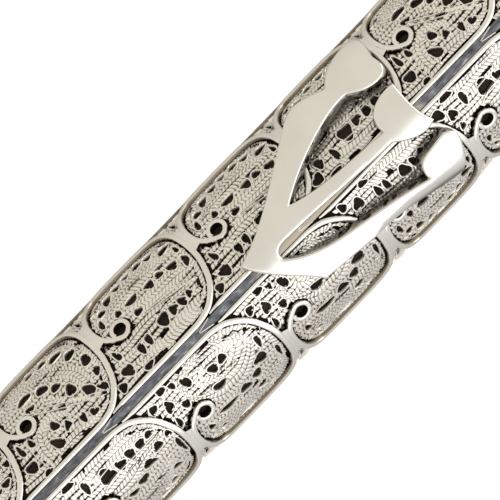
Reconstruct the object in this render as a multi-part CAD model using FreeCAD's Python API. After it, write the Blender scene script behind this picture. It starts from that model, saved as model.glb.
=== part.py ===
"""A round filigree mezuzah case: a lined silver tube with scrolled frame wires, a raised letter,
a back strip for two nails, and a bottom cap that pulls off to let the parchment out.

Lengths are millimetres. +Z runs up the case and the front faces -Y. The origin is the middle of
the back strip's rear face, which lies on the door post. Pieces that wrap round the tube are laid
out flat first, as (s, z): s is the arc length round the tube from its front line, z the height.
"""

import FreeCAD
import Part
import math
import os

from FreeCAD import Base, Vector

# ---- driving dimensions ----
FRAME_RADIUS = 10.1
LINER_RADIUS = 9.2
LINER_BORE_RADIUS = 8.6
SOLDER_GAP = 0.02
PITCHES = [13.4, 12.8, 14.1, 13.85, 13.4, 13.5, 13.3, 13.5]
NOMINAL_PITCH = 13.4
FILLING_RADIUS = 9.65
FILLING_GAP = 0.05
CURL_GAP = 0.2
RIB_WIDTH = 0.84
RIB_RADIUS = 9.95
REAR_RIB_WIDTH = 0.76
BORDER_WIDTH = 0.7
BORDER_RADIUS = 10.0

LETTER_RADIUS = 11.7
LETTER_TIP_BELOW_TOP = 38.5

STRIP_WIDTH = 9.0
STRIP_THICKNESS = 1.0
NAIL_HOLE_RADIUS = 1.6
NAIL_HOLE_HEIGHT = 77.5
STRIP_TO_AXIS = 10.3

RING_WIRE_RADIUS = 0.6
RING_RADIUS = 9.85
COLLAR_LENGTH = 5.4
CAP_WALL = 0.8
CAP_HEIGHT = 8.0
CAP_FLANGE = 1.0
CAP_RADIUS = 10.0
ROPE_RADIUS = 0.42
ROPE_RING_RADIUS = 9.36

SLEEVE_CLEARANCE = 0.05
SLEEVE_WALL = 0.55
SLEEVE_LENGTH = 7.0
SLEEVE_FLOOR = 0.6

SCROLL_LENGTH = 100.0
SCROLL_CORE_RADIUS = 4.4
SCROLL_TURNS = 3
PARCHMENT = 0.35
PARCHMENT_PITCH = 0.5

# ---- derived sizes ----
WRAP_RADIUS = 10.0
POINTS_PER_EDGE = 4
QUARTER_ARC = WRAP_RADIUS * math.pi / 2
AXIS_Y = -(STRIP_THICKNESS + STRIP_TO_AXIS)
END_MARGIN = 0.36
HOOK_DEPTH = 12.7
HALF_BODY = (END_MARGIN * 2 + sum(PITCHES[:-1]) + HOOK_DEPTH * PITCHES[-1] / NOMINAL_PITCH) / 2
LINER_END = HALF_BODY + COLLAR_LENGTH

# ---- one scrolled frame wire: (s, z, half width), from the rib run round to the curl ----
HOOK_PATH = [
    (0.71, -15.1, 0.24), (0.71, -9.0, 0.26), (0.72, -5.6, 0.28), (0.80, -4.3, 0.30),
    (1.17, -2.9, 0.32), (2.0, -1.75, 0.32), (3.2, -0.8, 0.32), (5.2, -0.12, 0.32),
    (6.9, 0.0, 0.32), (8.6, -0.12, 0.32), (10.6, -0.5, 0.32), (12.6, -1.5, 0.32),
    (14.0, -3.4, 0.32), (14.4, -6.6, 0.32), (14.2, -9.4, 0.32), (13.3, -11.2, 0.32),
    (11.5, -12.3, 0.32), (9.3, -12.7, 0.32), (7.4, -12.5, 0.32), (6.3, -11.85, 0.3),
]
CURL = (6.35, -10.35)
CURL_RADIUS = 1.1
CURL_HOLE_RADIUS = 0.6
UNDER_CURL = (4.9, -11.9)
CURL_ANGLES = [200, 160, 120, 80, 40, 0, -40, -70]

# ---- openings in the rope-work filling of one unit: (s, z, half width, half height) ----
FILLING_OPENINGS = [
    (7.5, -1.9, 0.32, 0.38), (7.6, -3.4, 0.30, 0.45), (7.6, -5.0, 0.30, 0.45),
    (7.5, -6.6, 0.28, 0.40), (7.5, -8.1, 0.28, 0.40), (11.9, -2.9, 0.25, 0.40),
    (12.5, -4.6, 0.25, 0.45), (12.7, -6.3, 0.25, 0.45), (12.4, -8.0, 0.25, 0.45),
    (11.7, -9.6, 0.25, 0.45), (3.6, -4.0, 0.30, 0.40), (3.6, -5.6, 0.32, 0.55),
    (3.5, -9.2, 0.38, 0.28), (3.4, -10.4, 0.34, 0.28), (2.7, -12.3, 0.38, 0.38),
]

# ---- the raised letter: smooth edges between sharp corners, as (s at its face, z) ----
LETTER_EDGES = [
    [(-1.7, 0.0), (-3.4, 4.3), (-5.6, 8.0), (-8.7, 12.2), (-10.3, 15.3), (-9.6, 17.2), (-8.8, 18.6)],
    [(-8.8, 18.6), (-10.2, 19.8), (-11.1, 21.6), (-11.2, 23.2), (-10.7, 24.2), (-9.8, 24.6),
     (-7.4, 24.2), (-5.6, 24.2), (-5.0, 23.6), (-4.9, 22.3), (-5.5, 20.8), (-6.4, 19.6)],
    [(-6.4, 19.6), (-6.4, 18.2), (-5.7, 15.0), (-4.4, 11.5), (-2.5, 7.8)],
    [(-2.5, 7.8), (-1.6, 11.5), (-1.2, 15.0), (-0.8, 19.4)],
    [(-0.8, 19.4), (-1.6, 19.4), (-2.7, 19.9), (-3.5, 21.2), (-3.6, 23.6)],
    [(-3.6, 23.6), (-1.6, 23.4), (0.1, 23.4), (2.0, 23.9)],
    [(2.0, 23.9), (2.0, 21.4), (1.3, 20.2), (0.6, 19.3)],
    [(0.6, 19.3), (0.3, 14.0), (-0.1, 9.0), (-0.3, 5.3), (-0.1, 3.9), (0.8, 3.5)],
    [(0.8, 3.5), (1.7, 4.6), (3.0, 7.2), (4.1, 11.5), (5.0, 15.5), (6.2, 19.4)],
    [(6.2, 19.4), (5.2, 19.4), (4.3, 19.9), (3.9, 21.0), (3.7, 22.6), (3.7, 23.7),
     (4.3, 24.4), (5.9, 24.3), (10.1, 23.1)],
    [(10.1, 23.1), (9.2, 20.2), (7.5, 16.5), (6.6, 12.5), (6.1, 9.0), (5.6, 5.1)],
    [(5.6, 5.1), (3.0, 3.2), (1.1, 1.6), (-1.7, 0.0)],
]

# ---- half profiles (radius, height above the flange's seat) of the end caps and finials ----
DOME_OUTSIDE = [(8.9, CAP_FLANGE), (8.75, 2.4), (7.9, 4.2), (6.1, 5.9), (3.9, 7.1), (2.3, CAP_HEIGHT)]
FINIAL_PROFILE = [
    (0.0, 0.0), (1.5, 0.0), (1.3, 0.5), (1.2, 1.0), (2.1, 1.3), (2.1, 1.8), (1.3, 2.1),
    (2.5, 2.9), (2.9, 4.0), (2.5, 5.1), (1.2, 6.1), (0.8, 6.5), (0.9, 7.0), (0.5, 7.5), (0.0, 7.6),
]


# ---- helpers ----
def place(shape):
    """Moves a piece built round the Z axis, with its front on +X, to the tube's place."""
    shape.rotate(Vector(0, 0, 0), Vector(0, 0, 1), -90)
    shape.translate(Vector(0, AXIS_Y, 0))
    return shape


def export(name, *shapes):
    """Writes one piece, or one group of like pieces, as its own file."""
    shape = shapes[0] if len(shapes) == 1 else Part.makeCompound(list(shapes))
    shape.exportStep(f"parts/{name}.step")


def edges_on(cylinder, points, flat_radius, closed=False):
    """Edges wrapped on a cylinder: one straight edge for two points, else a smooth line in short runs."""
    if len(points) == 2:
        ends = [Base.Vector2d(s / flat_radius, z) for s, z in points]
        return [Part.Geom2d.Line2dSegment(*ends).toShape(cylinder)]
    curve = Part.Geom2d.BSplineCurve2d()
    curve.interpolate(Points=[Base.Vector2d(s, z) for s, z in points], PeriodicFlag=closed)
    for index in range(1, curve.NbPoles + 1):
        pole = curve.getPole(index)
        curve.setPole(index, Base.Vector2d(pole.x / flat_radius, pole.y))
    runs = math.ceil(len(points) / POINTS_PER_EDGE)
    length = (curve.LastParameter - curve.FirstParameter) / runs
    stops = [curve.FirstParameter + length * run for run in range(runs + 1)]
    return [curve.toShape(cylinder, start, stop) for start, stop in zip(stops, stops[1:])]


def signed_area(points):
    """Twice the area that a loop of points encloses, negative where it runs clockwise."""
    return sum(a[0] * b[1] - b[0] * a[1] for a, b in zip(points, points[1:] + points[:1]))


def wrapped_plate(edges, holes, inner_radius, outer_radius, flat_radius=WRAP_RADIUS):
    """A plate cut to an outline, with holes, bent round the tube between two radii.

    The outline runs anticlockwise and the holes run clockwise, whichever way they are drawn.
    """
    if signed_area([point for points in edges for point in points[:-1]]) < 0:
        edges = [points[::-1] for points in reversed(edges)]
    holes = [points if signed_area(points) < 0 else points[::-1] for points in holes]
    faces = []
    rims = []
    for radius in (inner_radius, outer_radius):
        cylinder = Part.Cylinder()
        cylinder.Radius = radius
        outline = [edge for points in edges for edge in edges_on(cylinder, points, flat_radius)]
        openings = [edges_on(cylinder, points, flat_radius, closed=True) for points in holes]
        face = Part.Face(cylinder, Part.Wire(outline))
        if openings:
            face.cutHoles([Part.Wire(rim) for rim in openings])
        faces.append(face)
        rims.append(outline + [edge for rim in openings for edge in rim])
    walls = [Part.makeRuledSurface(inside, outside) for inside, outside in zip(*rims)]
    shell = Part.makeShell(faces + walls)
    shell.sewShape()
    solid = Part.makeSolid(shell)
    if solid.Volume < 0:
        solid.reverse()
    return solid


def ellipse_points(s, z, half_width, half_height):
    """Eight points round an ellipse on the unrolled tube."""
    angles = [math.radians(45 * step) for step in range(8)]
    return [(s + half_width * math.cos(a), z + half_height * math.sin(a)) for a in angles]


def revolve(profile, base_height=0.0, flip=False):
    """Turns a closed half profile of edges round the Z axis, upside down where flip is set."""
    solid = Part.Face(Part.Wire(profile)).revolve(Vector(0, 0, 0), Vector(0, 0, 1), 360)
    if flip:
        solid.rotate(Vector(0, 0, 0), Vector(1, 0, 0), 180)
    solid.translate(Vector(0, 0, base_height))
    return solid


def half_plane(points):
    """(radius, height) pairs as points of the half plane that is revolved."""
    return [Vector(radius, 0, height) for radius, height in points]


def smooth(points):
    """A smooth edge through (radius, height) points."""
    curve = Part.BSplineCurve()
    curve.interpolate(half_plane(points))
    return curve.toShape()


def polyline(points):
    """Straight edges through (radius, height) points."""
    corners = half_plane(points)
    return [Part.makeLine(a, b) for a, b in zip(corners, corners[1:])]


def washer(inner_radius, outer_radius, low, high):
    """A plain ring between two radii and two heights."""
    ring = Part.makeCylinder(outer_radius, high - low, Vector(0, 0, low))
    return ring.cut(Part.makeCylinder(inner_radius, high - low, Vector(0, 0, low)))


def flat_back(shape):
    """Files a ring flat where it sits on the back strip."""
    size = 4 * FRAME_RADIUS
    corner = Vector(-STRIP_TO_AXIS + SOLDER_GAP - size, -size / 2, -2 * HALF_BODY)
    return shape.cut(Part.makeBox(size, size, 4 * HALF_BODY, corner))


# ---- the frame wires ----
def unit_top(unit):
    """Height of the top of one unit's arch, along the middle of its wire."""
    return HALF_BODY - END_MARGIN - sum(PITCHES[:unit])


def beside_path(first, last, gap, top, stretch):
    """Points beside the frame wire: a gap off its left edge, or its right edge for -0.0 or less."""
    line = Part.BSplineCurve()
    line.interpolate([Vector(s, z * stretch, 0) for s, z, _ in HOOK_PATH])
    points = []
    for s, z, half_width in HOOK_PATH[first:last]:
        along = line.tangent(line.parameter(Vector(s, z * stretch, 0)))[0]
        reach = math.copysign(half_width, gap) + gap
        points.append((s - along.y * reach, top + z * stretch + along.x * reach))
    return points


def curl_arc(radius, top, stretch):
    """Points round the curl at the end of a frame wire."""
    s, z = CURL[0], top + CURL[1] * stretch
    turns = [math.radians(angle) for angle in CURL_ANGLES]
    return [(s + radius * math.cos(turn), z + radius * math.sin(turn)) for turn in turns]


def hook_edges(unit):
    """Outline of one frame wire with its curl."""
    top = unit_top(unit)
    stretch = PITCHES[unit] / NOMINAL_PITCH
    left = beside_path(0, None, 0.0, top, stretch)
    right = beside_path(0, -1, -0.0, top, stretch)
    outside = left + curl_arc(CURL_RADIUS, top, stretch)
    inside = [outside[-1]] + right[::-1]
    if unit == len(PITCHES) - 1:
        floor = -HALF_BODY + SOLDER_GAP
        outside[0] = (outside[0][0], floor)
        inside[-1] = (inside[-1][0], floor)
    return [outside, inside, [inside[-1], outside[0]]]


# Each column of units: its place round the tube, and the way it faces.
COLUMNS = {
    "front_left": lambda s: -s,
    "front_right": lambda s: s,
    "back_left": lambda s: s - 2 * QUARTER_ARC,
    "back_right": lambda s: 2 * QUARTER_ARC - s,
}


def in_column(column, edges):
    """Moves outlines drawn for the front right column into another column."""
    turn = COLUMNS[column]
    return [[(turn(s), z) for s, z in points] for points in edges]


def make_hook(column, unit):
    """One scrolled frame wire."""
    top = unit_top(unit)
    stretch = PITCHES[unit] / NOMINAL_PITCH
    eye = ellipse_points(CURL[0], top + CURL[1] * stretch, CURL_HOLE_RADIUS, CURL_HOLE_RADIUS)
    edges = in_column(column, hook_edges(unit))
    holes = in_column(column, [eye])
    return wrapped_plate(edges, holes, LINER_RADIUS + SOLDER_GAP, FRAME_RADIUS)


# ---- the rope-work filling between the frame wires ----
BORDER_EDGE = QUARTER_ARC - BORDER_WIDTH / 2 - FILLING_GAP
RIB_EDGE = RIB_WIDTH / 2 + FILLING_GAP


def lobe_edges(unit):
    """Outline of the filling inside one frame wire and down to the next arch by the rib."""
    top = unit_top(unit)
    stretch = PITCHES[unit] / NOMINAL_PITCH
    inside = beside_path(0, 18, -FILLING_GAP, top, stretch)
    curl = curl_arc(CURL_RADIUS + CURL_GAP, top, stretch)[-2:0:-1]
    corner = (UNDER_CURL[0], top + UNDER_CURL[1] * stretch)
    by_curl = [inside, [inside[-1], curl[0]], curl, [curl[-1], corner]]
    if unit == len(PITCHES) - 1:
        floor = -HALF_BODY + FILLING_GAP
        foot = (corner[0], floor)
        inside[0] = (inside[0][0], floor)
        return by_curl + [[corner, foot], [foot, inside[0]]]
    next_stretch = PITCHES[unit + 1] / NOMINAL_PITCH
    arch = beside_path(5, 8, 2 * FILLING_GAP, unit_top(unit + 1), next_stretch)[::-1]
    return by_curl + [[corner, arch[0]], arch, [arch[-1], inside[0]]]


def border_edges(unit):
    """Outline of the filling between a frame wire, the next one down and the side border."""
    top = unit_top(unit)
    stretch = PITCHES[unit] / NOMINAL_PITCH
    upper = beside_path(13, 18, FILLING_GAP, top, stretch)
    if unit == len(PITCHES) - 1:
        floor = -HALF_BODY + FILLING_GAP
        # The lowest wire's underside reaches this floor at its last point, so the filling ends before it.
        upper = upper[:-1]
        corners = [upper[-1], (upper[-1][0], floor), (BORDER_EDGE, floor)]
        lower = [corners[0:2], corners[1:3]]
    else:
        next_stretch = PITCHES[unit + 1] / NOMINAL_PITCH
        arch = beside_path(9, 14, 2 * FILLING_GAP, unit_top(unit + 1), next_stretch)
        lower = [[upper[-1], arch[0]], arch, [arch[-1], (BORDER_EDGE, arch[-1][1])]]
    corner = (BORDER_EDGE, upper[0][1])
    return [upper] + lower + [[lower[-1][-1], corner], [corner, upper[0]]]


def top_corner_edges():
    """Outlines of the two small fillings above the first arch."""
    top = unit_top(0)
    stretch = PITCHES[0] / NOMINAL_PITCH
    ceiling = HALF_BODY - FILLING_GAP
    by_rib = beside_path(4, 8, FILLING_GAP, top, stretch)
    rib_corner = (RIB_EDGE, by_rib[0][1])
    inner = [by_rib, [by_rib[-1], (by_rib[-1][0], ceiling)],
             [(by_rib[-1][0], ceiling), (RIB_EDGE, ceiling)],
             [(RIB_EDGE, ceiling), rib_corner], [rib_corner, by_rib[0]]]
    by_border = beside_path(9, 14, FILLING_GAP, top, stretch)
    low = (BORDER_EDGE, by_border[-1][1])
    outer = [by_border, [by_border[-1], low], [low, (BORDER_EDGE, ceiling)],
             [(BORDER_EDGE, ceiling), (by_border[0][0], ceiling)],
             [(by_border[0][0], ceiling), by_border[0]]]
    return [inner, outer]


def make_filling(column):
    """All the filling of one column, as separate solids."""
    solids = []
    for unit, pitch in enumerate(PITCHES):
        top = unit_top(unit)
        stretch = pitch / NOMINAL_PITCH
        openings = [ellipse_points(s, top + z * stretch, width, height)
                    for s, z, width, height in FILLING_OPENINGS]
        edges = in_column(column, lobe_edges(unit))
        holes = in_column(column, openings)
        solids.append(wrapped_plate(edges, holes, LINER_RADIUS + SOLDER_GAP, FILLING_RADIUS))
    for edges in [border_edges(unit) for unit in range(len(PITCHES))] + top_corner_edges():
        flat = in_column(column, edges)
        solids.append(wrapped_plate(flat, [], LINER_RADIUS + SOLDER_GAP, FILLING_RADIUS))
    return solids


# ---- ribs, liner and letter ----
def straight_strip(middle, width, outer_radius):
    """A straight strip up the whole filigree at one place round the tube."""
    left, right = middle - width / 2, middle + width / 2
    low, high = -HALF_BODY + SOLDER_GAP, HALF_BODY - SOLDER_GAP
    corners = [(left, low), (right, low), (right, high), (left, high), (left, low)]
    edges = [list(pair) for pair in zip(corners, corners[1:])]
    return wrapped_plate(edges, [], LINER_RADIUS + SOLDER_GAP, outer_radius)


def make_rear_rib():
    """The square bar that joins the liner to the back strip."""
    front = LINER_RADIUS + SOLDER_GAP
    depth = STRIP_TO_AXIS - SOLDER_GAP - front
    corner = Vector(-STRIP_TO_AXIS + SOLDER_GAP, -REAR_RIB_WIDTH / 2, -HALF_BODY + SOLDER_GAP)
    return Part.makeBox(depth, REAR_RIB_WIDTH, 2 * (HALF_BODY - SOLDER_GAP), corner)


def make_letter():
    """The raised letter that stands on the frame wires."""
    tip = HALF_BODY - LETTER_TIP_BELOW_TOP
    edges = [[(s, tip + z) for s, z in points] for points in LETTER_EDGES]
    return wrapped_plate(edges, [], FRAME_RADIUS + SOLDER_GAP, LETTER_RADIUS, LETTER_RADIUS)


# ---- collars, caps and finials ----
def make_ring(height):
    """A round border wire soldered round the liner."""
    return flat_back(Part.makeTorus(RING_RADIUS, RING_WIRE_RADIUS, Vector(0, 0, height)))


def make_collar(low, high):
    """The plain band between two border wires."""
    return flat_back(washer(LINER_RADIUS + SOLDER_GAP, FRAME_RADIUS, low, high))


def make_dome(seat, flip):
    """A hollow cap: a flange, an arched dome and a flat crown for the finial."""
    inside = [(max(radius - CAP_WALL, 0.0), height - CAP_WALL) for radius, height in DOME_OUTSIDE]
    outside_edges = polyline([(inside[0][0], 0), (CAP_RADIUS, 0), (CAP_RADIUS, CAP_FLANGE),
                              DOME_OUTSIDE[0]])
    crown = polyline([DOME_OUTSIDE[-1], (0, CAP_HEIGHT), (0, CAP_HEIGHT - CAP_WALL), inside[-1]])
    inner_wall = polyline([inside[0], (inside[0][0], 0)])
    profile = outside_edges + [smooth(DOME_OUTSIDE)] + crown + [smooth(inside[::-1])] + inner_wall
    return revolve(profile, seat, flip)


def make_rope(seat, flip):
    """The twisted wire round the foot of a dome, as a plain ring."""
    height = CAP_FLANGE + ROPE_RADIUS + SOLDER_GAP
    ring = Part.makeTorus(ROPE_RING_RADIUS, ROPE_RADIUS)
    ring.translate(Vector(0, 0, seat - height if flip else seat + height))
    return ring


def make_finial(seat, flip):
    """The turned finial: a neck, a disc, a ball and a small bead."""
    neck = polyline(FINIAL_PROFILE[:7])
    ball = smooth(FINIAL_PROFILE[6:11])
    bead = smooth(FINIAL_PROFILE[10:])
    axis = polyline([FINIAL_PROFILE[-1], FINIAL_PROFILE[0]])
    return revolve(neck + [ball, bead] + axis, seat, flip)


def make_sleeve(seat):
    """The cup inside the bottom cap that slides into the liner and holds the scroll's foot."""
    outer = LINER_BORE_RADIUS - SLEEVE_CLEARANCE
    cup = Part.makeCylinder(outer, SLEEVE_LENGTH, Vector(0, 0, seat))
    hollow_height = SLEEVE_LENGTH - SLEEVE_FLOOR
    return cup.cut(Part.makeCylinder(outer - SLEEVE_WALL, hollow_height, Vector(0, 0, seat + SLEEVE_FLOOR)))


# ---- the back strip and the scroll ----
def make_back_strip():
    """The flat strip with round ends and a nail hole above and below the case."""
    length = 2 * NAIL_HOLE_HEIGHT
    back = STRIP_THICKNESS
    corner = Vector(-STRIP_WIDTH / 2, -back, -NAIL_HOLE_HEIGHT)
    strip = Part.makeBox(STRIP_WIDTH, STRIP_THICKNESS, length, corner)
    for height in (-NAIL_HOLE_HEIGHT, NAIL_HOLE_HEIGHT):
        centre = Vector(0, -back, height)
        strip = strip.fuse(Part.makeCylinder(STRIP_WIDTH / 2, back, centre, Vector(0, 1, 0)))
    for height in (-NAIL_HOLE_HEIGHT, NAIL_HOLE_HEIGHT):
        centre = Vector(0, -2 * back, height)
        strip = strip.cut(Part.makeCylinder(NAIL_HOLE_RADIUS, 3 * back, centre, Vector(0, 1, 0)))
    return strip.removeSplitter()


def spiral_edges(start_radius, foot):
    """Half circles about two centres, each a little larger than the last, as one rolled line."""
    edges = []
    for half_turn in range(2 * SCROLL_TURNS):
        radius = start_radius + PARCHMENT_PITCH / 2 * half_turn
        side = 1 if half_turn % 2 == 0 else -1
        centre = Vector((1 - side) * PARCHMENT_PITCH / 4, 0, foot)
        start = centre + Vector(side * radius, 0, 0)
        top = centre + Vector(0, side * radius, 0)
        end = centre - Vector(side * radius, 0, 0)
        edges.append(Part.Arc(start, top, end).toShape())
    return edges


def make_scroll(foot):
    """The parchment, rolled loosely with its face inwards."""
    inner = spiral_edges(SCROLL_CORE_RADIUS, foot)
    outer = spiral_edges(SCROLL_CORE_RADIUS + PARCHMENT, foot)
    near_end = Part.makeLine(inner[0].firstVertex().Point, outer[0].firstVertex().Point)
    far_end = Part.makeLine(inner[-1].lastVertex().Point, outer[-1].lastVertex().Point)
    outline = Part.Wire(inner + [far_end] + outer[::-1] + [near_end])
    return Part.Face(outline).extrude(Vector(0, 0, SCROLL_LENGTH))


# ---- build and export ----
os.makedirs("parts", exist_ok=True)

export("liner_tube", place(washer(LINER_BORE_RADIUS, LINER_RADIUS, -LINER_END, LINER_END)))
export("front_rib", place(straight_strip(0.0, RIB_WIDTH, RIB_RADIUS)))
export("rear_rib", place(make_rear_rib()))
export("left_border_wire", place(straight_strip(-QUARTER_ARC, BORDER_WIDTH, BORDER_RADIUS)))
export("right_border_wire", place(straight_strip(QUARTER_ARC, BORDER_WIDTH, BORDER_RADIUS)))
export("raised_letter", place(make_letter()))
export("back_strip", make_back_strip())

for column in COLUMNS:
    export(f"filling_{column}", *[place(solid) for solid in make_filling(column)])
    for unit in range(len(PITCHES)):
        export(f"frame_wire_{column}_{unit + 1}", place(make_hook(column, unit)))

ring_step = RING_WIRE_RADIUS + SOLDER_GAP
for end, sign in (("top", 1), ("bottom", -1)):
    near = HALF_BODY + ring_step
    far = LINER_END - ring_step
    export(f"{end}_inner_ring", place(make_ring(sign * near)))
    export(f"{end}_outer_ring", place(make_ring(sign * far)))
    band = sorted((sign * (near + ring_step), sign * (far - ring_step)))
    export(f"{end}_collar", place(make_collar(*band)))
    seat = sign * (LINER_END + SOLDER_GAP)
    crown = sign * (LINER_END + CAP_HEIGHT + 2 * SOLDER_GAP)
    export(f"{end}_cap_dome", place(make_dome(seat, flip=sign < 0)))
    export(f"{end}_cap_rope", place(make_rope(seat, flip=sign < 0)))
    export(f"{end}_finial", place(make_finial(crown, flip=sign < 0)))

sleeve_seat = -LINER_END
export("bottom_cap_sleeve", place(make_sleeve(sleeve_seat)))
export("scroll", place(make_scroll(sleeve_seat + SLEEVE_FLOOR + SOLDER_GAP)))
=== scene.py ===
"""Looks of the round filigree mezuzah case: wire work, raised letter, silver, light and camera."""

import math
import random

import bmesh
import bpy
import numpy as np
from mathutils import Matrix, Vector
from mathutils.geometry import delaunay_2d_cdt


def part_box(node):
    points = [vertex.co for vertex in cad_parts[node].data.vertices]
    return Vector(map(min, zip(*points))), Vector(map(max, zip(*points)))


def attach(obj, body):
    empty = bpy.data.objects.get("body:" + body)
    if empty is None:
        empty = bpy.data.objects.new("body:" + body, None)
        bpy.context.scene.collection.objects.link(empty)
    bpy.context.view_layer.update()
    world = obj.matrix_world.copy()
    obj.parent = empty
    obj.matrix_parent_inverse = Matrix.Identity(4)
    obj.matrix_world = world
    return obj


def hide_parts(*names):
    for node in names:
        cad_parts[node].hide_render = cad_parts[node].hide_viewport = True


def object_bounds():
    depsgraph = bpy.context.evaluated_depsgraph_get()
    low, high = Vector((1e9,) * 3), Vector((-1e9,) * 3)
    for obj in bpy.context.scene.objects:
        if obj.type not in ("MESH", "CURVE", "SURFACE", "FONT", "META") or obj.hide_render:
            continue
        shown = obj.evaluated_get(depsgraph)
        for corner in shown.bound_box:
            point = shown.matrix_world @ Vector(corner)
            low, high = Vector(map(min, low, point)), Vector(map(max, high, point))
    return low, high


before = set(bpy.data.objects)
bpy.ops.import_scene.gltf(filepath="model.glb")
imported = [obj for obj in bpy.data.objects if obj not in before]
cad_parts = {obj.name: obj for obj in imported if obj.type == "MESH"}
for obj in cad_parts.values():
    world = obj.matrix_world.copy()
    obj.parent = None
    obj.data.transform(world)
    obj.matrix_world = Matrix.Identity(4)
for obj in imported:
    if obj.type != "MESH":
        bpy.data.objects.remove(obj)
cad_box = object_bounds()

# Wire work is laid out flat in millimetres: s is the arc from the front line at FLAT_RADIUS, z the
# height, and a radius says how far from the tube's axis it stands.
MM = 0.001
FLAT_RADIUS = 10.0
QUARTER = FLAT_RADIUS * math.pi / 2
NOMINAL_PITCH = 13.4
HOOK_DEPTH = 12.7
HALF_WIRE = 0.32
END_MARGIN = 0.36
SOLDER_GAP = 0.02
LETTER_RADIUS = 11.7

liner_low, liner_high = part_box("liner_tube")
AXIS_Y = (liner_low.y + liner_high.y) / 2 / MM
LINER_RADIUS = (liner_high.x - liner_low.x) / 2 / MM
HALF_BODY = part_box("front_rib")[1].z / MM
UNITS = 8
TOPS = [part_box(f"frame_wire_front_left_{unit + 1}")[1].z / MM - HALF_WIRE for unit in range(UNITS)]
PITCHES = [high - low for high, low in zip(TOPS, TOPS[1:])]
PITCHES.append((TOPS[-1] + HALF_BODY - END_MARGIN) * NOMINAL_PITCH / HOOK_DEPTH)
FRAME_RADIUS = 10.1
BASE_RADIUS = LINER_RADIUS + SOLDER_GAP

# Each column of units: its place round the tube, and whether it is a mirror image.
COLUMNS = {
    "front_left": (lambda s: -s, True),
    "front_right": (lambda s: s, False),
    "back_left": (lambda s: s - 2 * QUARTER, False),
    "back_right": (lambda s: 2 * QUARTER - s, True),
}


# ---- flat lines ----
RUN_STEPS = 16


def smooth_line(points, closed=False, samples=240):
    """Points spread evenly along a smooth line through the given (s, z) points."""
    p = np.array(points, float)
    if closed:
        p = np.vstack([p[-2:], p, p[:3]])
    else:
        p = np.vstack([2 * p[0] - p[1], p, 2 * p[-1] - p[-2]])
    t = np.linspace(0, 1, RUN_STEPS, endpoint=False)[:, None]
    runs = []
    last = len(p) - 2
    for i in range(1, last):
        a, b, c, d = p[i - 1], p[i], p[i + 1], p[i + 2]
        runs.append(0.5 * (2 * b + (c - a) * t + (2 * a - 5 * b + 4 * c - d) * t**2
                           + (3 * b - 3 * c + d - a) * t**3))
    line = np.vstack(runs + [p[last][None]])
    return even(line[RUN_STEPS:-RUN_STEPS] if closed else line, samples)


def even(line, samples):
    """The same line with its points spread evenly along it."""
    along = np.concatenate([[0], np.cumsum(np.hypot(*np.diff(line, axis=0).T))])
    stops = np.linspace(0, along[-1], samples)
    return np.stack([np.interp(stops, along, line[:, k]) for k in range(2)], axis=1)


def line_length(line):
    """How long a flat line is."""
    return float(np.hypot(*np.diff(line, axis=0).T).sum())


def tangents(line, closed=False):
    """The direction of a flat line at each of its points."""
    tangent = np.gradient(line, axis=0)
    if closed:
        tangent[0] = tangent[-1] = line[1] - line[-2]
    return tangent / (np.hypot(*tangent.T)[:, None] + 1e-9)


def at_stops(line, stops, half_width, closed):
    """Place, direction and half width of a wire at distances along its line."""
    along = np.linspace(0, line_length(line), len(line))
    direction = tangents(line, closed)
    centre = [np.interp(stops, along, line[:, k]) for k in range(2)]
    side = [np.interp(stops, along, direction[:, k]) for k in range(2)]
    return centre, side, np.interp(stops, along, np.broadcast_to(half_width, len(line)))


class Relief:
    """Wire work laid out flat: vertices are (s, z, radius), each with a shade, 0 deep to 1 on the worn top;
    the dark end is partly oxide in the hollows, partly painted shade.
    """

    def __init__(self):
        self.vertices = []
        self.shades = []
        self.faces = []
        self.count = 0

    def add_grid(self, s, z, radius, shade, closed=False):
        """Adds a sheet of quads from arrays whose rows run along the wire."""
        rows, columns = s.shape
        self.vertices.append(np.stack([s, z, radius], 2).reshape(-1, 3))
        self.shades.append(np.broadcast_to(shade, s.shape).reshape(-1))
        index = np.arange(rows * columns).reshape(rows, columns) + self.count
        if closed:
            index = np.vstack([index, index[:1]])
        quads = np.stack([index[:-1, :-1], index[1:, :-1], index[1:, 1:], index[:-1, 1:]], axis=2)
        self.faces.append(quads.reshape(-1, 4))
        self.count += rows * columns

    def merged(self, other, top=0.0, stretch=1.0):
        """Adds another relief, drawn for one unit, at that unit's top and stretch."""
        for vertices, shades in zip(other.vertices, other.shades):
            moved = vertices.copy()
            moved[:, 1] = top + moved[:, 1] * stretch
            self.vertices.append(moved)
            self.shades.append(shades)
        self.faces.extend(faces + self.count for faces in other.faces)
        self.count += other.count


# How high and how wide a wire still is at its free end, and how dark its foot is painted, partly for oxide
# and partly as painted shade.
END_HEIGHT = 0.15
END_WIDTH = 0.5
FOOT_SHADE = 0.25


def sweep(relief, line, half_width, profile, height, closed=False, step=0.2, end_drop=True):
    """Runs a raised profile of (across, up) shares along a flat line on the liner."""
    length = line_length(line)
    rows = max(4, round(length / step))
    along = np.linspace(0, length, rows, endpoint=not closed)
    centre, side, wide = at_stops(line, along, half_width, closed)
    across, up = np.array(profile, float).T
    reach = wide[:, None] * across[None, :]
    fall = np.ones(rows)
    if end_drop and not closed:
        fall[0] = fall[-1] = END_HEIGHT
        reach[0] *= END_WIDTH
        reach[-1] *= END_WIDTH
    s = centre[0][:, None] - side[1][:, None] * reach
    z = centre[1][:, None] + side[0][:, None] * reach
    radius = BASE_RADIUS + height * up[None, :] * fall[:, None]
    # Darker towards the foot: partly oxide in the hollow, partly painted shade.
    relief.add_grid(s, z, radius, FOOT_SHADE + (1 - FOOT_SHADE) * up[None, :], closed)
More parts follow.
